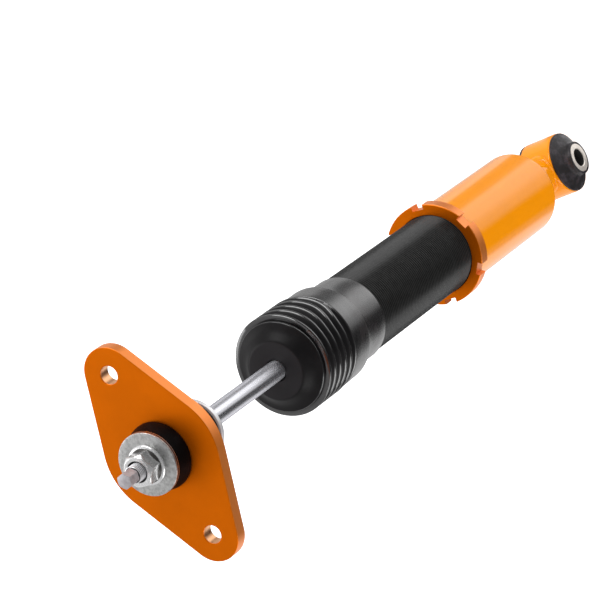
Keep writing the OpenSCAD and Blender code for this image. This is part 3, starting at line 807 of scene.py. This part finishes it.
class COILOVER_OT_eye(bpy.types.Operator):
    """Lower eye: rounded eye tube, moulded rubber bush and faced sleeve"""

    bl_idname = "coilover.eye"
    bl_label = "Lower eye"

    def execute(self, context):
        half, edge = EYE_LEN / 2, 1.2
        inner = EYE_R - 2.5
        tube = [(inner, -half + 0.3), (inner + 0.3, -half)] + arc(EYE_R - edge, -half + edge, edge, -90, 0, 6)
        tube += arc(EYE_R - edge, half - edge, edge, 0, 90, 6) + [(inner + 0.3, half), (inner, half - 0.3)]
        piece = lay_along_y(turned("eye_tube_coated", tube))
        smooth(piece, 30)
        mount(piece, "eye_tube", "orange_powder_coat")

        shell, flange, boss = EYE_R - 4.0, EYE_R - 0.3, SLEEVE_R + 1.55
        hole, end = SLEEVE_R + 0.05, SLEEVE_LEN / 2 - 0.1
        side = [(shell, half), (flange - 0.3, half)] + arc(flange - 0.6, half + 1.0, 0.6, -60, 60, 4)
        side += [(flange - 1.3, half + 1.75), (18.2, half + 2.65), (16.2, half + 3.9), (14.3, half + 5.0)]
        side += [(12.9, half + 5.85), (12.3, half + 6.35), (boss + 0.3, half + 6.9), (boss + 0.08, half + 7.6)]
        side += [(boss, half + 8.2), (boss, end - 0.35), (boss - 0.12, end - 0.1), (boss - 0.35, end), (hole, end)]
        piece = lay_along_y(turned("eye_bush_rubber", side + [(a, -z) for a, z in reversed(side)]))
        smooth(piece, 38)
        mount(piece, "bush_rubber", "black_rubber")

        out, h, bore = SLEEVE_R, SLEEVE_LEN / 2, 6.1
        upper = [(out, h - 0.3), (out - 0.3, h), (bore + 0.5, h), (bore, h - 0.5)]
        lower = [(a, -z) for a, z in reversed(upper)]
        piece = lay_along_y(turned("eye_sleeve_steel", lower + upper, steps=96))
        smooth(piece, 30)
        # the sleeve's bore is painted dark, as painted shade
        mount(piece, "bush_sleeve", "raw_steel", "oiled_bore")
        paint(piece, lambda face, away, z: 1 if math.hypot(face.center.x, face.center.z) < (bore + 0.1) * MM else 0)
        return {"FINISHED"}


def ripple(angle, count, phase=0.0):
    """Height of a weld's rounded ripples at an angle, from 0 between two of them to 1 on top of one."""
    wave = (angle * count / TURN + phase) % 1.0
    return math.sqrt(max(0.0, 1 - (2 * wave - 1) ** 2))


class COILOVER_OT_welds(bpy.types.Operator):
    """Rippled weld beads round the neck of the lower mount"""

    bl_idname = "coilover.welds"
    bl_label = "Weld beads"

    def eye_bead(self, ripples):
        """Bead round the neck, saddled on the eye tube and narrowed towards the tube's ends."""
        clear_selection()
        ring, saddle_r, end = (EYE_LEN / 2 + 0.1) * MM, EYE_R * MM, EYE_LEN / 2 * MM
        bpy.ops.mesh.primitive_torus_add(
            major_segments=176, minor_segments=14, major_radius=ring, minor_radius=1.7 * MM
        )
        piece = added("eye_weld_bead")
        for v in piece.data.vertices:
            a, r = math.atan2(v.co.y, v.co.x), math.hypot(v.co.x, v.co.y)
            swell = 0.9 + 0.22 * ripple(a, ripples) + 0.1 * math.sin(5 * a + 0.7)
            narrow = 1.0 - 0.72 * max(0.0, abs(math.sin(a)) - 0.55) / 0.45
            r = ring + (r - ring) * swell * narrow - (1.0 - narrow) * 0.9 * MM
            rise = v.co.z * swell * (0.92 if v.co.z > 0 else 1.0)
            x, y = r * math.cos(a), max(-end, min(end, r * math.sin(a)))
            v.co = (x, y, math.sqrt(max(0.0, saddle_r ** 2 - x * x)) + rise + 0.3 * MM)
        smooth(piece, 60)
        mount(piece, "eye_weld", "orange_powder_coat")

    def foot_bead(self):
        """Bead under the cup, round the foot of the neck."""
        low, high, out = span("foot_weld")
        foot, ripples = out - 4.0, 34
        bead = [(foot - 0.3, high), (foot - 0.3, low + 0.4), (foot + 0.3, low), (foot + 1.2, low + 0.45)]
        bead += [(foot + 2.1, low + 1.25), (foot + 2.9, low + 2.1), (foot + 3.6, low + 3.1)]
        piece = turned("foot_weld_bead", bead + [(out, high - 0.3), (out - 0.2, high)], steps=240)
        for v in piece.data.vertices:
            a, r, z = math.atan2(v.co.y, v.co.x), math.hypot(v.co.x, v.co.y) / MM, v.co.z / MM
            if r < foot + 0.2 or z > high - 0.25:
                continue
            lift = 0.34 * ripple(a, ripples, 0.12 * (z - low)) - 0.26 + 0.1 * math.sin(5 * a)
            widen(v, (r + lift * 0.75) / r)
            v.co.z = max(low, z - lift * 0.5) * MM
        smooth(piece, 60)
        mount(piece, "foot_weld", "orange_powder_coat")

    def execute(self, context):
        self.eye_bead(context.scene.coilover_sizes.weld_ripples)
        self.foot_bead()
        return {"FINISHED"}


class COILOVER_OT_plate(bpy.types.Operator):
    """Top plate with softly broken edges"""

    bl_idname = "coilover.plate"
    bl_label = "Top plate"

    def execute(self, context):
        ear_turn, ear_reach, ear_r, middle_r = math.radians(8.5), 51.0, 15.9, 36.75
        centre_hole, bolt_hole = 12.0, 5.25
        x, y = ear_reach * math.cos(ear_turn), ear_reach * math.sin(ear_turn)
        piece = bar("mount_plate", middle_r, PLATE_Z0, PLATE_Z1, 192)
        join(piece, *[bar("ear", ear_r, PLATE_Z0, PLATE_Z1, 96, side * x, side * y) for side in (1, -1)])
        bpy.ops.object.mode_set(mode="EDIT")
        bpy.ops.mesh.select_all(action="SELECT")
        bpy.ops.mesh.convex_hull()
        bpy.ops.mesh.select_all(action="SELECT")
        bpy.ops.mesh.dissolve_limited(angle_limit=math.radians(0.5))
        bpy.ops.object.mode_set(mode="OBJECT")
        cut(piece, bar("hole", centre_hole, PLATE_Z0 - 2, PLATE_Z1 + 2, 96))
        for side in (1, -1):
            cut(piece, bar("hole", bolt_hole, PLATE_Z0 - 2, PLATE_Z1 + 2, 64, side * x, side * y))
        apply(
            piece, "BEVEL", width=context.scene.coilover_sizes.plate_break, segments=3,
            limit_method="ANGLE", angle_limit=math.radians(40), harden_normals=False,
        )
        weld_and_face_out(piece, 1e-6)
        smooth(piece, 28)
        keep_faces_flat(piece)
        mount(piece, "top_plate", "copper_anodised", "bright_bore")

        def in_bolt_hole(face, away, z):
            from_ear = math.hypot(abs(face.center.x) - x * MM, abs(face.center.y) - y * MM)
            return 1 if from_ear < (bolt_hole + 0.1) * MM and face.center.x * face.center.y > 0 else 0

        paint(piece, in_bolt_hole)
        return {"FINISHED"}


class COILOVER_OT_top_mount(bpy.types.Operator):
    """Rubber bushes and pressed washers on both sides of the plate"""

    bl_idname = "coilover.top_mount"
    bl_label = "Top mount"

    def bush(self, name, node, z_free, z_plate):
        """A bush that widens from its washer to the plate, with a spigot into the plate's hole."""
        hole, spigot, spigot_h, edge = 8.0, 11.9, 4, 1.3
        wide, free = BUSH_R - 0.2, WASHER_R - 0.9
        up = 1 if z_plate > z_free else -1
        h = abs(z_plate - z_free)
        pts = [(hole, z_free)] + [(a, z_free + up * (z + edge)) for a, z in arc(free - edge, 0, edge, -90, 0, 5)]
        pts += [(free + (wide - free) * k, z_free + up * (edge + (h - 2.6 * edge) * k)) for k in (0.3, 0.6, 0.85)]
        pts += [(a, z_plate + up * (z - edge)) for a, z in arc(wide - edge, 0, edge, 0, 90, 5)]
        pts += [(spigot, z_plate), (spigot, z_plate + up * spigot_h), (hole, z_plate + up * spigot_h)]
        piece = turned(name, pts)
        smooth(piece, 40)
        mount(piece, node, "bush_black")

    def washer(self, name, node, z0, z1, finish, groove):
        """Pressed washer with a rolled upper edge and, where asked, a groove round its rim painted dark as painted
        shade.
        """
        bore, w, roll = 5.0, WASHER_R, 0.45
        pts = [(bore, z0 + 0.2), (bore + 0.2, z0), (w - 0.25, z0), (w, z0 + 0.25), (w, z0 + 0.9)]
        pts += [(w - groove, z0 + 1.0), (w - groove, z0 + 1.45), (w - 0.02, z0 + 1.55)]
        pts += arc(w - 0.02 - roll, z1 - roll, roll, 0, 90, 5)
        piece = turned(name, pts + [(bore + 0.9, z1), (bore + 0.35, z1 - 0.2), (bore, z1 - 0.6)])
        smooth(piece, 35)
        if groove == 0:
            mount(piece, node, finish)
            return
        mount(piece, node, finish, "oiled_collar")
        paint(piece, lambda face, away, z: 1 if away > w - groove - 0.1 and z0 + 0.9 < z < z0 + 1.56 else 0)

    def execute(self, context):
        self.bush("lower_bush_rubber", "lower_bush", LOW_BUSH_Z0, PLATE_Z0)
        self.bush("upper_bush_rubber", "upper_bush", TOP_WASHER_Z0, PLATE_Z1)
        self.washer("lower_washer_pressed", "lower_washer", LOW_WASHER_Z0, LOW_WASHER_Z1, "pale_zinc", 0)
        self.washer("upper_washer_pressed", "upper_washer", TOP_WASHER_Z0, TOP_WASHER_Z1, "zinc_steel", 0.45)
        return {"FINISHED"}


class COILOVER_OT_rod(bpy.types.Operator):
    """Chromed rod with its threaded stud and wrench tip"""

    bl_idname = "coilover.rod"
    bl_label = "Rod and stud"

    def execute(self, context):
        r, tail, stud, across = 6.0, 4.0, 5.0, 8.0
        piston_seat, ring_low, ring_high, ring_depth = 319.2, 321.6, 323.2, 1
        shoulder, stud_top = LOW_WASHER_Z0, ROD_Z1 - 8.4
        pitch = context.scene.coilover_sizes.stud_pitch / MM
        root = stud - 0.62 * pitch
        thread_z0, thread_z1 = NUT_Z0 - 3, stud_top - 0.2
        flanks = [(stud, 0.0), (stud, 0.14 * pitch), (root, 0.5 * pitch), (root, 0.64 * pitch), (stud, pitch)]
        thread = helix("rod_and_stud", flanks, pitch, thread_z0, thread_z1, root, 72)

        shaft = [(0, ROD_Z0), (tail - 0.4, ROD_Z0), (tail, ROD_Z0 + 0.4), (tail, piston_seat - 0.2)]
        shaft += [(r - 0.4, piston_seat), (r, piston_seat + 0.4), (r, ring_low), (r - ring_depth, ring_low)]
        shaft += [(r - ring_depth, ring_high), (r, ring_high), (r, 420.0), (r, shoulder - 0.4)]
        shaft += [(r - 0.4, shoulder), (stud, shoulder), (stud, thread_z0 - 0.3), (root, thread_z0)]
        body = turned("shaft", shaft, steps=72, closed=False)

        # the wrench tip's corners run out at both ends
        corner = across / 2 * HEX_CORNER
        top = bar("tip", corner, stud_top - 1.0, ROD_Z1, 6)
        spin(top, 47 - 90)
        ends = [(0, stud_top - 2), (root, stud_top - 2), (root, stud_top), (stud, stud_top + 0.5)]
        ends += [(stud, ROD_Z1 - 1.0), (corner - 0.1, ROD_Z1 - 0.45), (across / 2 - 0.5, ROD_Z1), (0, ROD_Z1)]
        cut(top, turned("ends", ends, steps=96, closed=False), "INTERSECT")
        thread_end = [(0, stud_top - 1.5), (root, stud_top - 1.5), (root, stud_top - 0.2), (root - 0.2, stud_top)]
        cut(top, turned("thread_end", thread_end + [(0, stud_top)], steps=72, closed=False), "UNION")

        piece = join(thread, body, top)
        weld_and_face_out(piece, 0.000004)
        smooth(piece, 30)
        mount(piece, "piston_rod", "rod_chrome", "stud_steel", "stud_thread")
        paint(piece, lambda face, away, z: 1 if z > stud_top + 0.3 else 2 if z > thread_z0 else 0)
        return {"FINISHED"}


class COILOVER_OT_nut(bpy.types.Operator):
    """Flanged top nut"""

    bl_idname = "coilover.nut"
    bl_label = "Top nut"

    def execute(self, context):
        z0, z1, flange, flats, bore = NUT_Z0, NUT_Z1, NUT_R, 8.5, 5.02
        corner = flats * HEX_CORNER
        piece = bar("flange_nut", corner, z0 + 0.6, z1, 6)
        spin(piece, 24 - 90)
        crown = [(0, z0), (corner + 1, z0), (corner + 1, z1 - 2.9), (corner, z1 - 1.75)]
        crown += [(flats + 0.1, z1 - 0.35), (flats - 0.5, z1), (0, z1)]
        skirt = [(0, z0), (flange - 0.3, z0), (flange, z0 + 0.3), (flange, z0 + 1.2), (flange - 0.35, z0 + 1.6)]
        skirt += [(flange - 0.9, z0 + 1.65), (flange - 1.4, z0 + 1.9), (flats - 0.7, z0 + 3.7), (0, z0 + 3.8)]
        mouth = [(0, z0 - 1), (5.6, z0 - 1), (5.6, z0), (bore, z0 + 0.6), (bore, z1 - 1.5)]
        mouth += [(6.2, z1 - 0.25), (6.3, z1), (6.3, z1 + 1), (0, z1 + 1)]
        cut(piece, turned("crown", crown, closed=False), "INTERSECT")
        cut(piece, turned("skirt", skirt, closed=False), "UNION")
        cut(piece, turned("mouth", mouth, steps=96, closed=False))
        apply(piece, "BEVEL", width=0.26 * MM, segments=2, limit_method="ANGLE", angle_limit=math.radians(30))
        weld_and_face_out(piece, 1e-6)
        smooth(piece, 34)
        keep_faces_flat(piece)
        # the bore and the cone under the hexagon are painted dark as painted shade; the flats take the shaded copy of
        # the zinc
        mount(piece, "top_nut", "bright_zinc", "oiled_bore", "oiled_collar", "side_zinc")

        def zone(face, away, z):
            """1 in the bore, 2 on the cone under the hexagon, 3 on a flat and 0 elsewhere."""
            tilt = abs(face.normal.z)
            if away < 6.25 and z > z0:
                return 1
            if away < flats - 0.1 or z < z0 + 1.5:
                return 0
            return 2 if 0.3 < tilt < 0.86 and z < z0 + 3.8 else 3 if tilt < 0.1 else 0

        paint(piece, zone)
        return {"FINISHED"}


# ---- stage ----


class COILOVER_OT_stage(bpy.types.Operator):
    """Pale floor, soft studio light and the camera"""

    bl_idname = "coilover.stage"
    bl_label = "Stage, light and camera"

    # what gloss sees of the floor round the part: (share of a turn, brightness)
    FLOOR_SHINE = (
        (0.0, 0.25), (0.02, 0.3), (0.05, 0.9), (0.12, 0.6), (0.21, 0.72), (0.34, 0.75), (0.45, 1.0), (0.52, 1.05),
        (0.565, 0.3), (0.61, 0.02), (0.7, 0.02), (0.76, 0.8), (0.835, 1.5), (0.9, 1.5), (0.945, 0.4), (0.97, 0.25),
    )
    # name, place, size and power of each lamp
    LAMPS = (
        ("soft_box_left", (-1.8, 0.1, 1.25), 1.2, 20.0),
        ("soft_box_side", (1.7, 0.6, 1.1), 1.1, 14.0),
        ("soft_box_back", (-0.6, -1.6, 1.3), 1.2, 10.0),
    )
    LAMP_AIM = Vector((0, 0, 0.27))
    CAMERA_PLACE = (-0.21552044, 0.97044051, 1.77001558)
    CAMERA_TURN = (-21.72619, 27.83647, 60.59041)
    CAMERA_LENS = 177.289

    def rays(self, t):
        """Whether a ray is seen by the camera, straight or through glass, and whether it is a reflection."""
        path = t.add("ShaderNodeLightPath").outputs
        return t.maths("MAXIMUM", path["Is Camera Ray"], path["Is Transmission Ray"]), path["Is Glossy Ray"]

    def floor(self, colour, z):
        clear_selection()
        bpy.ops.mesh.primitive_plane_add(size=12, location=(0, 0, z))
        floor = added("studio_floor")
        settle(floor)
        mat = bpy.data.materials.new("floor_white")
        mat.use_nodes = True
        t = Tree(mat.node_tree)
        t.tree.nodes.clear()
        seen, reflected = self.rays(t)
        matt = t.add("ShaderNodeBsdfDiffuse", i_Color=(*colour, 1.0)).outputs[0]
        both = t.add("ShaderNodeAddShader")
        t.wire(matt, both.inputs[0])
        t.wire(t.add("ShaderNodeEmission", i_Strength=0.62).outputs[0], both.inputs[1])
        # polished metal and gloss paint see soft bright and dark sectors, as from boxes and flags
        sweep = t.add("ShaderNodeTexGradient", gradient_type="RADIAL")
        t.wire(t.place(), sweep.inputs["Vector"])
        bands = t.add("ShaderNodeValToRGB")
        t.wire(sweep.outputs["Fac"], bands.inputs["Fac"])
        ramp = bands.color_ramp
        ramp.interpolation = "EASE"
        while len(ramp.elements) < len(self.FLOOR_SHINE):
            ramp.elements.new(0.5)
        shine = t.add("ShaderNodeEmission", i_Strength=2.0)
        for e, (turn, bright) in zip(ramp.elements, self.FLOOR_SHINE):
            e.position, e.color = turn, (bright / 2, bright / 2, bright / 2, 1)
        t.wire(bands.outputs["Color"], shine.inputs["Color"])
        last = t.mix_shaders(reflected, t.mix_shaders(seen, matt, both.outputs[0]), shine.outputs[0])
        t.wire(last, t.add("ShaderNodeOutputMaterial").inputs["Surface"])
        floor.data.materials.append(mat)

    def world(self, scene):
        world = bpy.data.worlds.new("studio")
        scene.world = world
        world.use_nodes = True
        t = Tree(world.node_tree)
        t.tree.nodes.clear()
        seen, reflected = self.rays(t)
        soft = t.add("ShaderNodeBackground", i_Color=(0.76, 0.76, 0.765, 1))
        # gloss sees a pale ceiling behind the part and a darker room in front of it
        way = t.add("ShaderNodeSeparateXYZ")
        t.wire(t.add("ShaderNodeTexCoord").outputs["Generated"], way.inputs[0])
        dim = t.add("ShaderNodeBackground")
        in_front = t.step(way.outputs["Y"], 0.15, -0.5)
        t.wire(t.blend(in_front, (0.08, 0.08, 0.082), (0.62, 0.62, 0.625)), dim.inputs["Color"])
        white = t.add("ShaderNodeBackground", i_Color=(1, 1, 1, 1))
        light = t.mix_shaders(reflected, soft.outputs[0], dim.outputs[0])
        t.wire(
            t.mix_shaders(seen, light, white.outputs[0]), t.add("ShaderNodeOutputWorld").inputs["Surface"]
        )

    def execute(self, context):
        scene = context.scene
        self.floor(scene.coilover_colours.floor, CAD_BOUNDS[0].z - 0.0005)
        self.world(scene)
        for name, place, size, power in self.LAMPS:
            clear_selection()
            bpy.ops.object.light_add(type="AREA", location=place)
            lamp = added(name)
            lamp.data.size = size
            lamp.data.energy = power
            lamp.rotation_euler = (self.LAMP_AIM - Vector(place)).to_track_quat("-Z", "Y").to_euler()

        clear_selection()
        bpy.ops.object.camera_add(location=self.CAMERA_PLACE)
        camera = added("studio_camera")
        camera.rotation_euler = Euler([math.radians(a) for a in self.CAMERA_TURN], "XYZ")
        camera.data.sensor_width = 36
        camera.data.lens = self.CAMERA_LENS
        camera.data.clip_start, camera.data.clip_end = 0.05, 50
        scene.camera = camera
        scene.view_settings.view_transform = "Standard"
        clear_selection()
        return {"FINISHED"}


class COILOVER_PT_panel(bpy.types.Panel):
    """Lists the sizes, colours and steps"""

    bl_label = "Coilover damper"
    bl_idname = "COILOVER_PT_panel"
    bl_space_type = "VIEW_3D"
    bl_region_type = "UI"
    bl_category = "Coilover"

    def draw(self, context):
        for group_name in ("coilover_sizes", "coilover_colours"):
            box = self.layout.box()
            settings = getattr(context.scene, group_name)
            for key in settings.__annotations__:
                box.prop(settings, key)
        for step in STEPS:
            self.layout.operator(step.bl_idname)


STEPS = (
    COILOVER_OT_finishes,
    COILOVER_OT_tube,
    COILOVER_OT_boot,
    COILOVER_OT_eye,
    COILOVER_OT_welds,
    COILOVER_OT_plate,
    COILOVER_OT_top_mount,
    COILOVER_OT_rod,
    COILOVER_OT_nut,
    COILOVER_OT_stage,
)
CLASSES = (CoiloverSizes, CoiloverColours, *STEPS, COILOVER_PT_panel)


def register():
    for c in CLASSES:
        bpy.utils.register_class(c)
    bpy.types.Scene.coilover_sizes = PointerProperty(type=CoiloverSizes)
    bpy.types.Scene.coilover_colours = PointerProperty(type=CoiloverColours)


def unregister():
    del bpy.types.Scene.coilover_colours
    del bpy.types.Scene.coilover_sizes
    for c in reversed(CLASSES):
        bpy.utils.unregister_class(c)


def main():
    register()
    bpy.ops.coilover.finishes()
    bpy.ops.coilover.tube()
    bpy.ops.coilover.boot()
    bpy.ops.coilover.eye()
    bpy.ops.coilover.welds()
    bpy.ops.coilover.plate()
    bpy.ops.coilover.top_mount()
    bpy.ops.coilover.rod()
    bpy.ops.coilover.nut()
    bpy.ops.coilover.stage()


if __name__ == "__main__":
    main()
